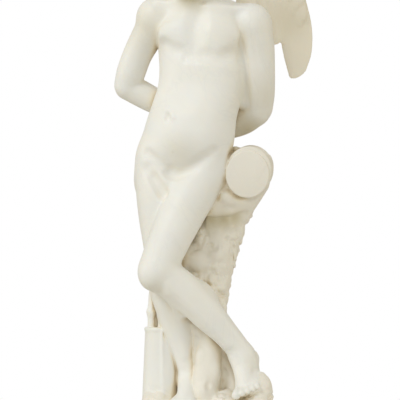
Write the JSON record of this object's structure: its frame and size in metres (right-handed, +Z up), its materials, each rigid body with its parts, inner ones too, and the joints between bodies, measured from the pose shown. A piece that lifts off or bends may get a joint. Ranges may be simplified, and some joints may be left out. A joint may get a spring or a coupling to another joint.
{
  "type": "cupid statue",
  "caption": "Winged boy carved in white marble, hands held behind the back and one leg crossed, leaning on a tree stump with a quiver, on a low oval base.",
  "frame": {"origin": "centre of the base's underside", "axes": "+Z up, -Y towards the viewer whom the chest and knee face, +X towards the sawn stub and the wing in view"},
  "size_m": [0.5066, 0.4443, 1.3499],
  "materials": {
    "marble": "honed white marble, stands in for stone"
  },
  "bodies": {
    "root": {"cupid_statue": "marble"}
  },
  "joints": []
}
